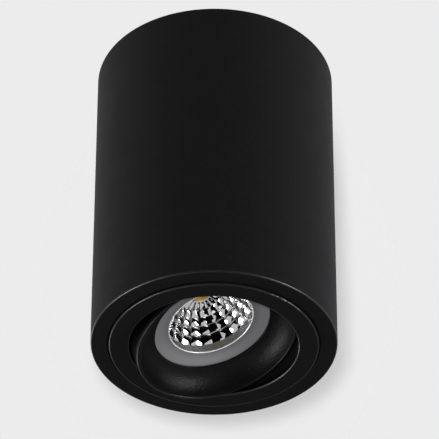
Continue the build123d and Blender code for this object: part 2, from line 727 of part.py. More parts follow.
def lamp_base():
    spigot_r = DRIVER_R - PART_GAP
    spigot_front = HEAT_SINK_BACK - BASE_SPIGOT
    points = [
        (spigot_r, spigot_front),
        (spigot_r, HEAT_SINK_BACK),
        (HEAT_SINK_BACK_R, HEAT_SINK_BACK),
        (BASE_R, BASE_SHOULDER),
        (BASE_R, BASE_BACK),
        (0, BASE_BACK),
        (0, BASE_BACK - BASE_WALL),
        (BASE_R - BASE_WALL, BASE_BACK - BASE_WALL),
        (BASE_R - BASE_WALL, BASE_SHOULDER),
        (spigot_r - BASE_WALL, HEAT_SINK_BACK),
        (spigot_r - BASE_WALL, spigot_front),
    ]
    pin_hole = rod(LAMP_PIN_NECK_DIA / 2, (LAMP_PIN_X, 0, BASE_BACK - BASE_WALL), (LAMP_PIN_X, 0, BASE_BACK))
    return RING_PLACE * (turned(points) - pair(pin_hole))


def lamp_pins():
    neck_end = BASE_BACK + LAMP_PIN_NECK
    neck = rod(LAMP_PIN_NECK_DIA / 2, (LAMP_PIN_X, 0, BASE_BACK - BASE_WALL), (LAMP_PIN_X, 0, neck_end))
    head = rod(LAMP_PIN_HEAD_DIA / 2, (LAMP_PIN_X, 0, neck_end), (LAMP_PIN_X, 0, neck_end + LAMP_PIN_HEAD))
    return RING_PLACE * pair(neck + head)


def lampholder():
    radius = HOLDER_DIA / 2
    points = [(0, HOLDER_FRONT), (radius, HOLDER_FRONT), (radius, HOLDER_BACK), (0, HOLDER_BACK)]
    body = turned(points, [(1, HOLDER_EDGE_ROUND), (2, HOLDER_EDGE_ROUND)])
    arc = CenterArc((0, 0), LAMP_PIN_X, 0, HOLDER_TWIST)
    neck_slot = SlotArc(arc, LAMP_PIN_NECK_DIA + 2 * HOLDER_SLOT_GAP)
    head_slot = SlotArc(arc, LAMP_PIN_HEAD_DIA + 2 * HOLDER_SLOT_GAP)
    turn = math.radians(HOLDER_TWIST)
    entry_x, entry_y = LAMP_PIN_X * math.cos(turn), LAMP_PIN_X * math.sin(turn)
    entry_r = LAMP_PIN_HEAD_DIA / 2 + HOLDER_SLOT_GAP
    face_back = HOLDER_FRONT + HOLDER_FACE
    socket = Pos(0, 0, HOLDER_FRONT) * extrude(neck_slot, HOLDER_FACE)
    socket += Pos(0, 0, face_back) * extrude(head_slot, HOLDER_CHAMBER)
    socket += rod(entry_r, (entry_x, entry_y, HOLDER_FRONT), (entry_x, entry_y, face_back))
    wire_hole = rod(
        WIRE_DIA / 2 + WIRE_HOLE_GAP, (LAMP_PIN_X, 0, HOLDER_FLOOR), (LAMP_PIN_X, 0, HOLDER_BACK)
    )
    return RING_PLACE * (body - pair(socket) - pair(wire_hole))


def lampholder_contacts():
    pin_end = BASE_BACK + LAMP_PIN_NECK + LAMP_PIN_HEAD
    sheet_back = pin_end + PART_GAP + CONTACT_SHEET
    plate = rod(LAMP_PIN_HEAD_DIA / 2, (LAMP_PIN_X, 0, pin_end + PART_GAP), (LAMP_PIN_X, 0, sheet_back))
    post = rod(CONTACT_POST_DIA / 2, (LAMP_PIN_X, 0, sheet_back), (LAMP_PIN_X, 0, HOLDER_FLOOR))
    return RING_PLACE * pair(plate + post)


NODES = [
    body_tube,
    ceiling_plate,
    side_brackets,
    set_screws,
    clinch_nuts,
    cable_grommet,
    terminal_block,
    terminal_inserts,
    terminal_screws,
    terminal_block_screw,
    earth_screw,
    earth_tag,
    earth_lead,
    lamp_leads_upper,
    trim_ring,
    spring_clips,
    clip_rivets,
    pivot_pins,
    friction_washers,
    gimbal_ring,
    lamp_circlip,
    lamp_bezel,
    lamp_reflector,
    led_board,
    led_emitter,
    lamp_housing,
    driver_board,
    driver_components,
    lamp_base,
    lamp_pins,
    lampholder,
    lampholder_contacts,
    lamp_leads_lower,
]

os.makedirs("parts", exist_ok=True)
for node in NODES:
    export_step(node(), f"parts/{node.__name__}.step")
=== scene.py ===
import json
import math

import bmesh
import bpy
from mathutils import Matrix, Vector


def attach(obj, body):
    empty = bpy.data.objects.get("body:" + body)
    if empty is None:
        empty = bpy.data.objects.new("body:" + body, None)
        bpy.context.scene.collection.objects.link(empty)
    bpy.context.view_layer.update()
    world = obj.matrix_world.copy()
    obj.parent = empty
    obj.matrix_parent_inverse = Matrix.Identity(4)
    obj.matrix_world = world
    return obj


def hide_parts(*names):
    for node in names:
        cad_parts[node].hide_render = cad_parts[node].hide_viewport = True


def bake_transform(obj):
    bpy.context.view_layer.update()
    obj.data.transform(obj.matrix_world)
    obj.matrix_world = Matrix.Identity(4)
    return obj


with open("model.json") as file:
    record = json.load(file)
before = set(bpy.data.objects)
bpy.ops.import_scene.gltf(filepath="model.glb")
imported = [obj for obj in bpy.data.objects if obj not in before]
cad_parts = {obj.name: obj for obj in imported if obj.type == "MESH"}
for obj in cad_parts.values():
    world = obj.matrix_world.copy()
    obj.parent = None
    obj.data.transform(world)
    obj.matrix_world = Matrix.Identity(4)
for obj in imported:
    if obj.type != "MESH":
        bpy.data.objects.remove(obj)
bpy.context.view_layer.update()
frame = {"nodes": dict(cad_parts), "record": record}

# A black ceiling downlight seen from below. All sizes are in metres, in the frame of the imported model:
# the ceiling is z = 0, the body hangs along -Z, and the camera stands on the -Y side.
MM = 0.001

# Pose of the trim insert and of the lamp ring at rest, as the model was packed
BODY_HEIGHT = 130 * MM
PIVOT_RISE = 7.2 * MM
SWIVEL = math.radians(-20)
TILT = math.radians(-17)
TRIM_PLACE = Matrix.Translation((0, 0, PIVOT_RISE - BODY_HEIGHT)) @ Matrix.Rotation(SWIVEL, 4, "Z")
RING_PLACE = TRIM_PLACE @ Matrix.Rotation(TILT, 4, "Y")

# Camera: the angle at which it looks up, its roll, distance, aim point and lens, as in the photograph
CAMERA_RISE = math.radians(37.61)
CAMERA_ROLL = 0.0025
CAMERA_DISTANCE = 1.38895
CAMERA_AIM = Vector((1.982 * MM, 0, -69.02 * MM))
CAMERA_LENS = 288.61
CAMERA_SENSOR = 36.0
CAMERA_REACH = 50
FORWARD = Vector((0, math.cos(CAMERA_RISE), math.sin(CAMERA_RISE)))
UP = Vector((0, -math.sin(CAMERA_RISE), math.cos(CAMERA_RISE)))
RIGHT = Vector((1, 0, 0))

# Reflector: a parabola of crowned facets, with a flange behind the bezel
MOUTH_R = 16.7 * MM
THROAT_R = 4.7 * MM
BEZEL_BACK = 5.4 * MM
FACETS_FRONT = 7.85 * MM
REFLECTOR_DEPTH = 11.85 * MM
REFLECTOR_WALL = 0.9 * MM
FLANGE_R = 19.4 * MM
FLANGE_THICK = 0.8 * MM
FACET_COLUMNS = 24
FACET_ROWS = 5
FACET_SPREAD = 0.75
FACET_STEPS = 8
FACET_CROWN_ACROSS = 0.07
FACET_CROWN_ALONG = 0.075
FACET_LEAN = 0.2
REFLECTOR_FINISHES = ["reflector_metal", "flange_metal", "bead_metal"]

# Collar in front of the facets, inside the bezel's opening, and its rolled bright edge
COLLAR_FRONT = 4.2 * MM
COLLAR_WALL = 0.25 * MM
BEAD_R = 0.24 * MM
BEAD_STEPS = 8

# Light source: a dam with rounded lips round a domed phosphor
EMITTER_R = 4.4 * MM
EMITTER_BACK = 19.8 * MM
EMITTER_SIDES = 96
DAM_WIDTH = 0.55 * MM
DAM_HEIGHT = 0.7 * MM
DAM_LIP = 0.15 * MM
PHOSPHOR_HEIGHT = 0.5 * MM
PHOSPHOR_DOME = DAM_LIP / 2
PHOSPHOR_STEPS = 6

# Leads: the wire, and the wire holes of the lampholder that they end in
WIRE_R = 0.9 * MM
WIRE_BEVEL_STEPS = 5
WIRE_LENGTH_STEPS = 12
HOLDER_FLOOR = 58.7 * MM
HOLDER_BACK = 63.7 * MM
LAMP_PIN_X = 5.0 * MM

# Range of a noise pattern that a finish uses
NOISE_RANGE = (0.3, 0.7)

# Powder coat: its two tones, the size of its clouds, and the relief of its grain, full and rubbed away
COAT_TONES = ((0.0014, 0.0014, 0.0017), (0.0036, 0.0036, 0.0042))
COAT_CLOUD = 9 * MM
COAT_RELIEF = (0.5, 0.05)
# Rubbed edges of the coated pieces, as (radius, height) about the body's axis and about the lamp's axis
BODY_EDGES = [(47.5 * MM, -130 * MM), (40.4 * MM, -130.8 * MM), (32.5 * MM, -130.8 * MM)]
RING_EDGES = [(32.2 * MM, -6.2 * MM), (31.4 * MM, -6.2 * MM)]
# Distances from an edge at which the rubbed band starts to fade and ends
WORN_BAND = (0.25 * MM, 0.6 * MM)
WORN_ROUGHNESS = 0.3
# Radii from full tone and sheen to painted shade on the faces on either side of the gap between trim and lamp
# ring
BODY_GAP_SHADE = (32.8 * MM, 32.55 * MM)
RING_GAP_SHADE = (32.3 * MM, 32.5 * MM)
# Share of tone and specular level that is left in that painted shade
GAP_SHADE_LEVEL = 0.15

# Bezel: satin grey with fine turned rings, and painted shade in a band along its inner edge.
# Each relief here and below is a depth and a strength
BEZEL_TONES = ((0.218, 0.219, 0.231), (0.26, 0.261, 0.275))
BEZEL_ROUGHNESS = (0.28, 0.36)
BEZEL_METAL = 0.45
BEZEL_RING_PITCH = 0.14 * MM
BEZEL_RELIEF = (0.006 * MM, 0.5)
BEZEL_PAINTED_SHADE_WIDTH = 4.0 * MM
BEZEL_PAINTED_SHADE = 0.68

# Zinc plate: spangle cells and their share in its tone, and fine rolling lines
SPANGLE_SIZE = 2.5 * MM
SPANGLE_SHARE = 0.35
ZINC_LINE = 0.12 * MM
ZINC_LINE_STRETCH = (1, 40, 1)
ZINC_TONES = [(0.35, (0.44, 0.45, 0.46)), (0.95, (0.66, 0.67, 0.68))]
ZINC_ROUGHNESS = (0.28, 0.46)
ZINC_RELIEF = (0.012 * MM, 0.6)

# Earth lead: green with yellow stripes
EARTH_STRIPE = 3.2 * MM
EARTH_TONES = [(0.46, (0.03, 0.22, 0.035)), (0.49, (0.03, 0.24, 0.04)), (0.52, (0.72, 0.55, 0.03))]
EARTH_GRAIN = 0.2 * MM
EARTH_ROUGHNESS = (0.38, 0.5)
EARTH_RELIEF = (0.02 * MM, 0.4)

# Plain finishes: dark tone, light tone, grain size in mm, roughness range, relief in mm, metal share
PLAIN_FINISHES = {
    "black_steel": ((0.012, 0.012, 0.013), (0.03, 0.03, 0.031), 0.15, (0.35, 0.5), 0.01, 0.9),
    "spring_steel": ((0.40, 0.41, 0.43), (0.58, 0.59, 0.61), 0.08, (0.22, 0.38), 0.006, 1.0),
    "black_rubber": ((0.010, 0.010, 0.010), (0.022, 0.022, 0.022), 0.3, (0.6, 0.75), 0.03, 0.0),
    "white_plastic": ((0.70, 0.69, 0.66), (0.76, 0.75, 0.72), 0.5, (0.35, 0.48), 0.012, 0.0),
    "brass": ((0.55, 0.36, 0.12), (0.68, 0.46, 0.17), 0.2, (0.25, 0.4), 0.008, 1.0),
    "live_insulation": ((0.10, 0.035, 0.014), (0.14, 0.05, 0.02), 0.3, (0.4, 0.52), 0.015, 0.0),
    "neutral_insulation": ((0.015, 0.07, 0.25), (0.025, 0.10, 0.33), 0.3, (0.4, 0.52), 0.015, 0.0),
    "reflector_metal": ((0.90, 0.90, 0.905), (0.94, 0.94, 0.945), 1.2, (0.02, 0.06), 0.004, 1.0),
    "flange_metal": ((0.30, 0.30, 0.31), (0.66, 0.66, 0.67), 0.35, (0.28, 0.42), 0.05, 1.0),
    "bead_metal": ((0.88, 0.88, 0.88), (0.96, 0.96, 0.96), 0.8, (0.2, 0.3), 0.004, 0.4),
    "led_board_white": ((0.74, 0.74, 0.72), (0.80, 0.80, 0.78), 0.4, (0.45, 0.6), 0.008, 0.0),
    "led_phosphor": ((0.88, 0.44, 0.04), (1.0, 0.64, 0.09), 0.5, (0.3, 0.42), 0.02, 0.0),
    "heat_sink_metal": ((0.48, 0.48, 0.49), (0.62, 0.62, 0.63), 0.25, (0.34, 0.5), 0.02, 1.0),
    "circuit_board": ((0.010, 0.09, 0.03), (0.018, 0.13, 0.045), 0.9, (0.3, 0.42), 0.015, 0.0),
    "driver_parts": ((0.012, 0.012, 0.014), (0.03, 0.03, 0.034), 0.35, (0.3, 0.45), 0.01, 0.0),
    "ceramic": ((0.72, 0.69, 0.62), (0.80, 0.77, 0.71), 0.6, (0.4, 0.6), 0.03, 0.0),
}
# The rolling grain of the spring sheet, and the low sheen of rubber
FINISH_EXTRAS = {"spring_steel": {"stretch": (1, 1, 30)}, "black_rubber": {"specular": 0.3}}

# Surroundings: an even background for the camera; for the object, levels from the dim front to the bright
# side as (cosine of the angle to the bright side, level), all dimmed below the horizon
BACKGROUND = (0.838, 0.838, 0.838, 1.0)
WORLD_BRIGHT_SIDE = (0, 0.5, 0.866)
WORLD_LEVELS = [
    (-0.6, 0.012),
    (-0.3, 0.05),
    (-0.13, 0.08),
    (0.13, 0.55),
    (0.4, 1.25),
    (0.65, 1.1),
    (0.88, 0.55),
]
WORLD_COOL = 1.04
WORLD_HORIZON = (-0.15, 0.1)
WORLD_BELOW = 0.1

# Backdrop that takes the drop shadow: how far it stands behind and below the aim point, its half width and
# half height, its glow and the slope of that glow, its tone, and the share of its radius where it fades
BACKDROP_GAP = 0.22
BACKDROP_DROP = 0.0327
BACKDROP_SIZE = (0.0917, 0.1092)
BACKDROP_GLOW = 0.13
BACKDROP_SLOPE = (-0.06, 0.22, 0)
BACKDROP_TONE = 0.602
BACKDROP_FADE = 0.7

# Pale floor far below, which the reflector mirrors
FLOOR_HEIGHT = -1.6
FLOOR_SIZE = (0.45, 0.45)
FLOOR_GLOW = 0.76
FLOOR_SLOPE = (0, 0, 0)
FLOOR_TONE = 0.1
FLOOR_FADE = 0.5
OVAL_SIDES = 128

# Key lamp beside the camera: its distance from the aim point, how far left of and above the camera's line it
# stands, its diameter and its radiance
KEY_DISTANCE = 1.3
KEY_LEFT = 0.021
KEY_RAISE = 0.024
KEY_SIZE = (0.0548, 0.0548)
KEY_RADIANCE = 1349

# Soft boxes and lamps round the mouth of the light: direction, width and height, radiance
LAMP_AIM = Vector((0, 0, -0.125))
LAMP_DISTANCE = 1.2
LAMPS = {
    "left_box": ((-0.7, 0.09, -0.707), (2.0, 1.25), 0.5),
    "right_box": ((0.76, -0.03, -0.65), (2.0, 1.25), 0.5),
    "left_lamp": ((-0.72, 0.05, -0.69), (0.48, 0.48), 12),
    "right_lamp": ((0.85, -0.4, -0.33), (0.48, 0.48), 12),
    "left_back_box": ((-0.65, 0.73, -0.2), (0.4, 0.4), 5),
}


def rgb(r, g, b):
    """Linear colour with full alpha."""
    return (r, g, b, 1.0)


def feed(tree, node, values):
    """Gives each of some inputs of a shader node its value, or a link from another node's output."""
    for key, value in values.items():
        if isinstance(value, bpy.types.NodeSocket):
            tree.links.new(value, node.inputs[key])
        else:
            node.inputs[key].default_value = value


def add(tree, kind, values=None, **settings):
    """New shader node with its settings and its inputs."""
    node = tree.nodes.new(kind)
    for key, value in settings.items():
        setattr(node, key, value)
    feed(tree, node, values or {})
    return node


def new_material(name):
    """Material with its node tree and its principled shader."""
    material = bpy.data.materials.new(name)
    material.use_nodes = True
    tree = material.node_tree
    return material, tree, tree.nodes["Principled BSDF"]


def combine(tree, operation, *values):
    """All the values taken together by one math operation."""
    total = values[0]
    for value in values[1:]:
        total = add(tree, "ShaderNodeMath", {0: total, 1: value}, operation=operation).outputs["Value"]
    return total


def dot(tree, vector, direction):
    """Share of a vector along a direction."""
    node = add(tree, "ShaderNodeVectorMath", {0: vector, 1: direction}, operation="DOT_PRODUCT")
    return node.outputs["Value"]


def length(tree, vector):
    """Length of a vector."""
    return add(tree, "ShaderNodeVectorMath", {0: vector}, operation="LENGTH").outputs["Value"]


def scaled(tree, colour, factor):
    """Colour made darker or lighter by a factor."""
    node = add(tree, "ShaderNodeVectorMath", {0: colour, "Scale": factor}, operation="SCALE")
    return node.outputs["Vector"]


def height_of(tree, vector):
    """Height, the third value of a vector."""
    return add(tree, "ShaderNodeSeparateXYZ", {"Vector": vector}).outputs["Z"]


def remap(tree, value, start, end, low, high, **settings):
    """Value moved from the range start to end into the range low to high, and kept inside it."""
    values = {"Value": value, "From Min": start, "From Max": end, "To Min": low, "To Max": high}
    return add(tree, "ShaderNodeMapRange", values, **settings).outputs["Result"]


def mixed_colour(tree, factor, first, second):
    """Colour between two colours."""
    values = {"Factor": factor, "A": first, "B": second}
    return add(tree, "ShaderNodeMix", values, data_type="RGBA").outputs["Result"]


def ramp(tree, source, stops):
    """Colour ramp on a value; each stop is a place and a colour."""
    node = add(tree, "ShaderNodeValToRGB", {"Fac": source})
    elements = node.color_ramp.elements
    while len(elements) < len(stops):
        elements.new(0.5)
    for element, (place, colour) in zip(elements, stops):
        element.position = place
        element.color = rgb(*colour)
    return node.outputs["Color"]


def coordinates(tree, place=None):
    """Object coordinates, or coordinates in a piece's own placed frame."""
    here = add(tree, "ShaderNodeTexCoord").outputs["Object"]
    if place is None:
        return here
    back = place.inverted()
    values = {"Vector": here, "Location": back.translation, "Rotation": back.to_euler()}
    return add(tree, "ShaderNodeMapping", values).outputs["Vector"]


def axis_distance(tree, place):
    """Distance from a placed piece's own axis."""
    values = {0: coordinates(tree, place), 1: (1, 1, 0)}
    flat = add(tree, "ShaderNodeVectorMath", values, operation="MULTIPLY")
    return length(tree, flat.outputs["Vector"])


def edge_distance(tree, place, circles):
    """Distance from the nearest of some circles about an axis, each a (radius, height) pair."""
    values = {"X": axis_distance(tree, place), "Y": height_of(tree, coordinates(tree, place))}
    section = add(tree, "ShaderNodeCombineXYZ", values).outputs["Vector"]
    distances = []
    for circle in circles:
        apart = add(tree, "ShaderNodeVectorMath", {0: section, 1: (*circle, 0)}, operation="DISTANCE")
        distances.append(apart.outputs["Value"])
    return combine(tree, "MINIMUM", *distances)


def noise(tree, size, detail=3.0, stretch=(1, 1, 1)):
    """Noise with features about size metres wide, drawn out along the axes whose stretch is above one."""
    values = {"Vector": coordinates(tree), "Scale": [1 / (size * along) for along in stretch]}
    spaced = add(tree, "ShaderNodeMapping", values).outputs["Vector"]
    return add(tree, "ShaderNodeTexNoise", {"Vector": spaced, "Scale": 1.0, "Detail": detail}).outputs["Fac"]


def two_tones(tree, grain, dark, light):
    """Colour that goes from dark to light with a noise."""
    low, high = NOISE_RANGE
    return ramp(tree, grain, [(low, dark), (high, light)])


def spread(tree, grain, low, high):
    """Value that goes from low to high with a noise."""
    return remap(tree, grain, *NOISE_RANGE, low, high)


def relief(tree, shader, height, depth, strength=1.0):
    """Surface relief of a height pattern, depth metres deep."""
    values = {"Height": height, "Distance": depth, "Strength": strength}
    bump = add(tree, "ShaderNodeBump", values)
    feed(tree, shader, {"Normal": bump.outputs["Normal"]})


def grained(name, dark, light, size, rough, depth, metallic, specular=0.5, stretch=(1, 1, 1)):
    """Finish whose colour, gloss and relief follow one noise; its size and depth are in millimetres."""
    material, tree, shader = new_material(name)
    grain = noise(tree, size * MM, stretch=stretch)
    looks = {
        "Base Color": two_tones(tree, grain, dark, light),
        "Roughness": spread(tree, grain, *rough),
        "Metallic": metallic,
        "Specular IOR Level": specular,
    }
    feed(tree, shader, looks)
    relief(tree, shader, grain, depth * MM)
    return material


def powder_coat(name, rough, specular, grain_size, depth, worn_tone, place, edges, gap_shade_radii):
    """Fine-textured matt black powder coat, rubbed to a sheen along its edges, with painted shade past a
    radius.
    """
    material, tree, shader = new_material(name)
    grain = noise(tree, grain_size, detail=2.0)
    cloud = noise(tree, COAT_CLOUD, detail=2.0)
    worn = remap(tree, edge_distance(tree, place, edges), *WORN_BAND, 1, 0)
    # Painted shade in the gap between trim and lamp ring: past the given radii the tone and the specular
    # level fall to a share
    gap_shade_factor = remap(tree, axis_distance(tree, place), *gap_shade_radii, 1, GAP_SHADE_LEVEL)
    tone = scaled(tree, two_tones(tree, grain, *COAT_TONES), gap_shade_factor)
    looks = {
        "Base Color": mixed_colour(tree, worn, tone, rgb(worn_tone, worn_tone, worn_tone)),
        "Roughness": remap(tree, worn, 0, 1, spread(tree, cloud, *rough), WORN_ROUGHNESS),
        "Metallic": worn,
        "Specular IOR Level": combine(tree, "MULTIPLY", gap_shade_factor, specular),
    }
    feed(tree, shader, looks)
    relief(tree, shader, grain, depth, remap(tree, worn, 0, 1, *COAT_RELIEF))
    return material


def zinc_plate():
    """Zinc-plated sheet: pale spangle cells and fine rolling lines."""
    material, tree, shader = new_material("zinc_steel")
    cells = add(tree, "ShaderNodeTexVoronoi", {"Vector": coordinates(tree), "Scale": 1 / SPANGLE_SIZE})
    lines = noise(tree, ZINC_LINE, stretch=ZINC_LINE_STRETCH)
    values = {0: cells.outputs["Color"], 1: SPANGLE_SHARE, 2: lines}
    pattern = add(tree, "ShaderNodeMath", values, operation="MULTIPLY_ADD").outputs["Value"]
    looks = {
        "Base Color": ramp(tree, pattern, ZINC_TONES),
        "Roughness": spread(tree, lines, *ZINC_ROUGHNESS),
        "Metallic": 1.0,
    }
    feed(tree, shader, looks)
    relief(tree, shader, lines, *ZINC_RELIEF)
    return material


def satin_bezel():
    """Satin grey lamp front with fine turned rings, and painted shade along its inner edge."""
    material, tree, shader = new_material("grey_bezel")
    radius = axis_distance(tree, RING_PLACE)
    values = {"W": radius, "Scale": 1 / BEZEL_RING_PITCH, "Detail": 2.0}
    rings = add(tree, "ShaderNodeTexNoise", values, noise_dimensions="1D").outputs["Fac"]
    tone = two_tones(tree, rings, *BEZEL_TONES)
    # Painted shade: the tone darkens towards the inner edge, beside the collar
    band = (MOUTH_R, MOUTH_R + BEZEL_PAINTED_SHADE_WIDTH)
    shade = remap(tree, radius, *band, BEZEL_PAINTED_SHADE, 1, interpolation_type="SMOOTHSTEP")
    looks = {
        "Base Color": scaled(tree, tone, shade),
        "Roughness": spread(tree, rings, *BEZEL_ROUGHNESS),
        "Metallic": BEZEL_METAL,
    }
    feed(tree, shader, looks)
    relief(tree, shader, rings, *BEZEL_RELIEF)
    return material


def earth_stripes():
    """Green wire insulation with yellow stripes."""
    material, tree, shader = new_material("earth_insulation")
    wave = noise(tree, EARTH_STRIPE, detail=0.0)
    fine = noise(tree, EARTH_GRAIN)
    looks = {
        "Base Color": ramp(tree, wave, EARTH_TONES),
        "Roughness": spread(tree, fine, *EARTH_ROUGHNESS),
    }
    feed(tree, shader, looks)
    relief(tree, shader, fine, *EARTH_RELIEF)
    return material


MATERIALS = {
    "body_coat": powder_coat(
        "body_coat",
        rough=(0.6, 0.64),
        specular=0.11,
        grain_size=0.7 * MM,
        depth=0.16 * MM,
        worn_tone=0.065,
        place=None,
        edges=BODY_EDGES,
        gap_shade_radii=BODY_GAP_SHADE,
    ),
    "ring_coat": powder_coat(
        "ring_coat",
        rough=(0.36, 0.44),
        specular=0.145,
        grain_size=0.8 * MM,
        depth=0.26 * MM,
        worn_tone=0.03,
        place=RING_PLACE,
        edges=RING_EDGES,
        gap_shade_radii=RING_GAP_SHADE,
    ),
    "zinc_steel": zinc_plate(),
    "grey_bezel": satin_bezel(),
    "earth_insulation": earth_stripes(),
}
for finish_name, look in PLAIN_FINISHES.items():
    MATERIALS[finish_name] = grained(finish_name, *look, **FINISH_EXTRAS.get(finish_name, {}))


def dress_frame():
    """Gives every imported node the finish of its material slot; the leads, which have none, are replaced."""
    for part in frame["record"]["subparts"]:
        slot = part["material_slot"]
        if slot == "black_powder_coat":
            slot = "ring_coat" if part["node"] == "gimbal_ring" else "body_coat"
        if slot not in MATERIALS:
            continue
        mesh = frame["nodes"][part["node"]].data
        mesh.materials.clear()
        mesh.materials.append(MATERIALS[slot])


def new_piece(name, mesh, finishes, replaced):
    """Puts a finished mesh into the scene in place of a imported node; it still has to ride or bend."""
    piece = bpy.data.objects.new(name, mesh)
    bpy.context.scene.collection.objects.link(piece)
    for finish in finishes:
        mesh.materials.append(MATERIALS[finish])
    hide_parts(replaced)
    return piece


def new_ring(work, radius, height, count):
    """Ring of vertices round the lamp's axis, placed with the lamp ring."""
    turns = [2 * math.pi * step / count for step in range(count)]
    points = [RING_PLACE @ Vector((radius * math.cos(a), radius * math.sin(a), height)) for a in turns]
    return [work.verts.new(point) for point in points]


def bridge(work, low, high, material=0, smooth=True):
    """Joins two rings of as many points by a band of quads."""
    for here in range(len(low)):
        after = (here + 1) % len(low)
        face = work.faces.new((low[here], low[after], high[after], high[here]))
        face.material_index = material
        face.smooth = smooth


def cap(work, tip, ring):
    """Joins a ring to one point on its axis."""
    for here in range(len(ring)):
        face = work.faces.new((tip, ring[here], ring[(here + 1) % len(ring)]))
        face.smooth = True


def sharpen(work, ring):
    """Makes a ring of edges sharp."""
    for here in range(len(ring)):
        work.edges.get((ring[here], ring[(here + 1) % len(ring)])).smooth = False


def to_mesh(name, work):
    """Closes a working mesh: outward normals, then plain mesh data."""
    bmesh.ops.recalc_face_normals(work, faces=work.faces)
    mesh = bpy.data.meshes.new(name)
    work.to_mesh(mesh)
    work.free()
    return mesh


def reflector_profile(row):
    """Radius and height of the reflector's inside at a row of facets, and its slope."""
    share = (1 - row / FACET_ROWS) ** FACET_SPREAD
    radius = THROAT_R + (MOUTH_R - THROAT_R) * share
    height = FACETS_FRONT + REFLECTOR_DEPTH * (1 - share**2)
    return radius, height, 2 * REFLECTOR_DEPTH * share / (MOUTH_R - THROAT_R)


def reflector_point(column, row, along):
    """Point of the reflector's inside: a parabola of facets, each crowned and leaning towards the mouth."""
    radius, height, slope = reflector_profile(row + along)
    across = column % 1
    facet_width = 2 * math.pi * radius / FACET_COLUMNS
    low_r, low_z, _ = reflector_profile(row)
    high_r, high_z, _ = reflector_profile(row + 1)
    facet_length = math.hypot(high_r - low_r, high_z - low_z)
    lift = 4 * FACET_CROWN_ACROSS * across * (1 - across) * facet_width
    lift += 4 * FACET_CROWN_ALONG * along * (1 - along) * facet_length
    lift += FACET_LEAN * (along - 0.5) * (1 - row / FACET_ROWS) * facet_length
    inward = Vector((slope, 1)).normalized()
    turn = 2 * math.pi * column / FACET_COLUMNS
    radius -= lift * inward.x
    height -= lift * inward.y
    return RING_PLACE @ Vector((radius * math.cos(turn), radius * math.sin(turn), height))


def bead_profile():
    """Rolled front edge of the collar, from its inside round to its outside."""
    centre = MOUTH_R + BEAD_R
    points = []
    for step in range(BEAD_STEPS + 1):
        turn = math.pi * step / BEAD_STEPS
        points.append((centre - BEAD_R * math.cos(turn), COLLAR_FRONT - BEAD_R * math.sin(turn)))
    return points


def make_reflector():
    """Bright reflector with crowned facets, a plain collar with a rolled edge, its flange and its back."""
    work = bmesh.new()
    count = FACET_COLUMNS * FACET_STEPS
    columns = [column / FACET_STEPS for column in range(count)]
    facets = []
    for row in range(FACET_ROWS):
        for step in range(FACET_STEPS + 1):
            points = [reflector_point(column, row, step / FACET_STEPS) for column in columns]
            facets.append([work.verts.new(point) for point in points])
    for low, high in zip(facets, facets[1:]):
        bridge(work, low, high)
    flange_back = BEZEL_BACK + FLANGE_THICK
    collar_r = MOUTH_R + COLLAR_WALL
    collar = [(MOUTH_R, BEZEL_BACK)]
    bead = bead_profile()
    flange = [
        (collar_r, COLLAR_FRONT),
        (collar_r, BEZEL_BACK),
        (FLANGE_R, BEZEL_BACK),
        (FLANGE_R, flange_back),
        (MOUTH_R + REFLECTOR_WALL, flange_back),
    ]
    profiles = [reflector_profile(row) for row in range(FACET_ROWS + 1)]
    back = [(radius + REFLECTOR_WALL, height) for radius, height, _ in profiles]
    outline = collar + bead + flange + back
    rings = [new_ring(work, radius, height, count) for radius, height in outline]
    rings = [facets[0], *rings, facets[-1]]
    # Rings at which the bead, the flange and the back start; the first ring is the facets' front edge
    bead_start = 1 + len(collar)
    flange_start = bead_start + len(bead)
    back_start = flange_start + len(flange)
    for index, (low, high) in enumerate(zip(rings, rings[1:])):
        in_bead = bead_start <= index < flange_start - 1
        finish = REFLECTOR_FINISHES.index("bead_metal" if in_bead else "flange_metal")
        bridge(work, low, high, material=finish, smooth=in_bead or index >= back_start - 1)
    for row in range(FACET_ROWS):
        first = row * (FACET_STEPS + 1)
        sharpen(work, facets[first])
        sharpen(work, facets[first + FACET_STEPS])
    for low, high in zip(facets, facets[1:]):
        for column in range(0, count, FACET_STEPS):
            work.edges.get((low[column], high[column])).smooth = False
    mesh = to_mesh("reflector", work)
    piece = new_piece("reflector", mesh, REFLECTOR_FINISHES, "lamp_reflector")
    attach(piece, "lamp_ring")


def make_dam():
    """Pale dam round the light source."""
    front = EMITTER_BACK - DAM_HEIGHT
    inner = EMITTER_R - DAM_WIDTH
    profile = [
        (EMITTER_R, EMITTER_BACK),
        (EMITTER_R, front + DAM_LIP),
        (EMITTER_R - DAM_LIP, front),
        (inner + DAM_LIP, front),
        (inner, front + DAM_LIP),
        (inner, EMITTER_BACK),
    ]
    work = bmesh.new()
    rings = [new_ring(work, radius, height, EMITTER_SIDES) for radius, height in profile]
    for low, high in zip(rings, [*rings[1:], rings[0]]):
        bridge(work, low, high)
    mesh = to_mesh("emitter_dam", work)
    piece = new_piece("emitter_dam", mesh, ["led_board_white"], "led_emitter")
    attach(piece, "lamp_ring")


def make_phosphor():
    """Domed yellow phosphor inside the dam."""
    edge = EMITTER_BACK - PHOSPHOR_HEIGHT
    radius = EMITTER_R - DAM_WIDTH
    profile = [(radius, EMITTER_BACK), (radius, edge)]
    for step in range(1, PHOSPHOR_STEPS):
        share = 1 - step / PHOSPHOR_STEPS
        profile.append((radius * share, edge - PHOSPHOR_DOME * (1 - share**2)))
    work = bmesh.new()
    bottom = work.verts.new(RING_PLACE @ Vector((0, 0, EMITTER_BACK)))
    rings = [new_ring(work, ring_r, height, EMITTER_SIDES) for ring_r, height in profile]
    top = work.verts.new(RING_PLACE @ Vector((0, 0, edge - PHOSPHOR_DOME)))
    cap(work, bottom, rings[0])
    for low, high in zip(rings, rings[1:]):
        bridge(work, low, high)
    cap(work, top, rings[-1])
    mesh = to_mesh("emitter_phosphor", work)
    piece = new_piece("emitter_phosphor", mesh, ["led_phosphor"], "led_emitter")
    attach(piece, "lamp_ring")


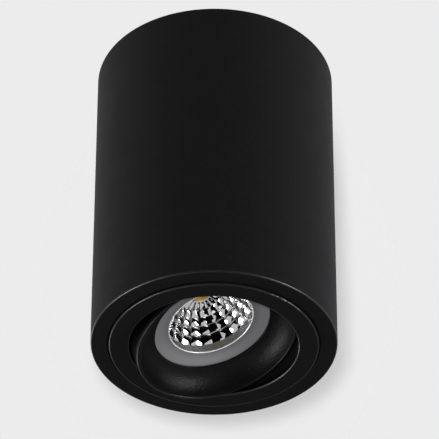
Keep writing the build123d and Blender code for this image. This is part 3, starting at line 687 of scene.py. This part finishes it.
def lead_tube(name, points):
    """Round insulated wire along the smooth line of its route points."""
    curve = bpy.data.curves.new(name, "CURVE")
    curve.dimensions = "3D"
    curve.bevel_depth = WIRE_R
    curve.bevel_resolution = WIRE_BEVEL_STEPS
    curve.use_fill_caps = True
    spline = curve.splines.new("NURBS")
    spline.points.add(len(points) - 1)
    for target, point in zip(spline.points, points):
        target.co = (*point, 1.0)
    spline.order_u = 3
    spline.use_endpoint_u = True
    spline.resolution_u = WIRE_LENGTH_STEPS
    shape = bpy.data.objects.new(name, curve)
    mesh = bpy.data.meshes.new_from_object(shape)
    mesh.name = name
    bpy.data.objects.remove(shape)
    for face in mesh.polygons:
        face.use_smooth = True
    return mesh


def route(*points):
    """Route points, from millimetres."""
    return [Vector(point) * MM for point in points]


def in_holder(side):
    """The two points of a lead inside the lampholder's wire hole."""
    return [RING_PLACE @ Vector((side * LAMP_PIN_X, 0, height)) for height in (HOLDER_FLOOR, HOLDER_BACK)]


def make_leads():
    """Brown live and blue neutral lamp leads, above and below the turning axis, and the earth lead.

    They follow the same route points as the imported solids.
    """
    live_upper = route((0, 1.4, -34), (0, 1.4, -25), (3.5, 6.5, -13.5), (11.7, 8, -8.5), (16.1, 8, -8.5))
    neutral_upper = route((0, -1.4, -34), (0, -1.4, -25), (3.5, -1, -13.5), (11.7, 0, -8.5), (16.1, 0, -8.5))
    live_lower = route((-22, 8.6, -53.5), (-12.2, 5.2, -46.5), (0, 1.4, -46), (0, 1.4, -34))
    neutral_lower = route((-15.7, 5.4, -51.5), (-9.4, 1.3, -44.5), (0, -1.4, -44), (0, -1.4, -34))
    earth = route(
        (24.6, -30, -3.1),
        (28.6, -30, -3.1),
        (35.5, -23, -5.5),
        (36.5, -12, -8),
        (31.1, -8, -8.5),
        (26.7, -8, -8.5),
    )
    for name, points, finish in (
        ("live_lead_upper", live_upper, "live_insulation"),
        ("neutral_lead_upper", neutral_upper, "neutral_insulation"),
    ):
        piece = new_piece(name, lead_tube(name, points), [finish], "lamp_leads_upper")
        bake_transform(piece)
    for name, points, finish in (
        ("live_lead_lower", in_holder(-1) + live_lower, "live_insulation"),
        ("neutral_lead_lower", in_holder(1) + neutral_lower, "neutral_insulation"),
    ):
        piece = new_piece(name, lead_tube(name, points), [finish], "lamp_leads_lower")
        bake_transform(piece)
    mesh = lead_tube("earth_wire", earth)
    piece = new_piece("earth_wire", mesh, ["earth_insulation"], "earth_lead")
    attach(piece, "housing")


def make_camera():
    """Long lens below the object, looking up at it."""
    data = bpy.data.cameras.new("camera")
    data.lens = CAMERA_LENS
    data.sensor_width = CAMERA_SENSOR
    data.clip_end = CAMERA_REACH
    camera = bpy.data.objects.new("camera", data)
    bpy.context.scene.collection.objects.link(camera)
    right = math.cos(CAMERA_ROLL) * RIGHT + math.sin(CAMERA_ROLL) * UP
    up = math.cos(CAMERA_ROLL) * UP - math.sin(CAMERA_ROLL) * RIGHT
    turn = Matrix((right, up, -FORWARD)).transposed()
    camera.matrix_world = Matrix.Translation(CAMERA_AIM - CAMERA_DISTANCE * FORWARD) @ turn.to_4x4()
    bpy.context.scene.camera = camera


def make_world():
    """Even pale surroundings for the camera; for the object, bright above and behind, and dim in front."""
    world = bpy.data.worlds.new("studio")
    bpy.context.scene.world = world
    world.use_nodes = True
    tree = world.node_tree
    tree.nodes.clear()
    direction = add(tree, "ShaderNodeTexCoord").outputs["Generated"]
    place = remap(tree, dot(tree, direction, WORLD_BRIGHT_SIDE), -1, 1, 0, 1)
    stops = [((side + 1) / 2, (level, level, level * WORLD_COOL)) for side, level in WORLD_LEVELS]
    above = remap(tree, height_of(tree, direction), *WORLD_HORIZON, WORLD_BELOW, 1)
    shade = scaled(tree, ramp(tree, place, stops), above)
    camera_ray = add(tree, "ShaderNodeLightPath").outputs["Is Camera Ray"]
    colour = mixed_colour(tree, camera_ray, shade, BACKGROUND)
    background = add(tree, "ShaderNodeBackground", {"Color": colour, "Strength": 1.0})
    add(tree, "ShaderNodeOutputWorld", {"Surface": background.outputs["Background"]})


def seen_rays(tree):
    """One for camera, glossy and transmission rays, and nought for the others."""
    path = add(tree, "ShaderNodeLightPath")
    kinds = ("Is Camera Ray", "Is Glossy Ray", "Is Transmission Ray")
    return combine(tree, "MAXIMUM", *[path.outputs[kind] for kind in kinds])


def stage_material(name, size, glow, slope, tone, fade):
    """Surface with a glow that slopes across it; it is clear from behind and past its faded edge."""
    material = bpy.data.materials.new(name)
    material.use_nodes = True
    tree = material.node_tree
    tree.nodes.clear()
    here = coordinates(tree)
    level = combine(tree, "ADD", dot(tree, here, slope), glow)
    light = add(tree, "ShaderNodeEmission", {"Strength": combine(tree, "MULTIPLY", level, seen_rays(tree))})
    diffuse = add(tree, "ShaderNodeBsdfDiffuse", {"Color": rgb(tone, tone, tone)})
    both = add(tree, "ShaderNodeAddShader", {0: diffuse.outputs["BSDF"], 1: light.outputs["Emission"]})
    share = add(tree, "ShaderNodeVectorMath", {0: here, 1: (*size, 1)}, operation="DIVIDE")
    distance = length(tree, share.outputs["Vector"])
    past_edge = remap(tree, distance, fade, 1, 0, 1, interpolation_type="SMOOTHSTEP")
    from_behind = add(tree, "ShaderNodeNewGeometry").outputs["Backfacing"]
    hidden = combine(tree, "MAXIMUM", past_edge, from_behind)
    clear = add(tree, "ShaderNodeBsdfTransparent")
    values = {"Fac": hidden, 1: both.outputs["Shader"], 2: clear.outputs["BSDF"]}
    mix = add(tree, "ShaderNodeMixShader", values)
    add(tree, "ShaderNodeOutputMaterial", {"Surface": mix.outputs["Shader"]})
    return material


def stage_oval(name, size, place, turn, glow, slope, tone, fade):
    """Flat oval of the stage, which is no part of the object."""
    work = bmesh.new()
    bmesh.ops.create_circle(work, cap_ends=True, radius=1, segments=OVAL_SIDES)
    bmesh.ops.scale(work, vec=(*size, 1), verts=work.verts)
    mesh = bpy.data.meshes.new(name)
    work.to_mesh(mesh)
    work.free()
    mesh.materials.append(stage_material(name, size, glow, slope, tone, fade))
    disc = bpy.data.objects.new(name, mesh)
    disc.matrix_world = Matrix.Translation(place) @ turn.to_4x4()
    bpy.context.scene.collection.objects.link(disc)


def make_stage():
    """Backdrop that faces the camera, and floor."""
    stage_oval(
        "backdrop",
        BACKDROP_SIZE,
        CAMERA_AIM + BACKDROP_GAP * FORWARD - BACKDROP_DROP * UP,
        Matrix((RIGHT, UP, -FORWARD)).transposed(),
        BACKDROP_GLOW,
        BACKDROP_SLOPE,
        BACKDROP_TONE,
        BACKDROP_FADE,
    )
    stage_oval(
        "floor",
        FLOOR_SIZE,
        Vector((0, 0, FLOOR_HEIGHT)),
        Matrix.Identity(3),
        FLOOR_GLOW,
        FLOOR_SLOPE,
        FLOOR_TONE,
        FLOOR_FADE,
    )


def soft_box(name, place, aim, size, radiance, shape="RECTANGLE"):
    """Square or round lamp of even radiance that faces its aim point; its size is its width and height."""
    width, height = size
    data = bpy.data.lights.new(name, "AREA")
    data.shape = shape
    data.size = width
    data.size_y = height
    area = width * height if shape == "RECTANGLE" else math.pi * width * height / 4
    data.energy = radiance * math.pi * area
    lamp = bpy.data.objects.new(name, data)
    lamp.location = place
    lamp.rotation_euler = (aim - place).to_track_quat("-Z", "Y").to_euler()
    bpy.context.scene.collection.objects.link(lamp)
    return lamp


def make_lamps():
    """Small round key lamp beside the camera, which makes no highlight, and the lamps round the mouth."""
    key_place = CAMERA_AIM - KEY_DISTANCE * FORWARD - KEY_LEFT * RIGHT + KEY_RAISE * UP
    key = soft_box("key", key_place, CAMERA_AIM, KEY_SIZE, KEY_RADIANCE, shape="ELLIPSE")
    key.visible_glossy = False
    for name, (direction, size, radiance) in LAMPS.items():
        soft_box(name, LAMP_AIM + LAMP_DISTANCE * Vector(direction).normalized(), LAMP_AIM, size, radiance)


dress_frame()
make_reflector()
make_dam()
make_phosphor()
make_leads()
make_camera()
make_world()
make_stage()
make_lamps()
bpy.context.scene.view_settings.view_transform = "Standard"
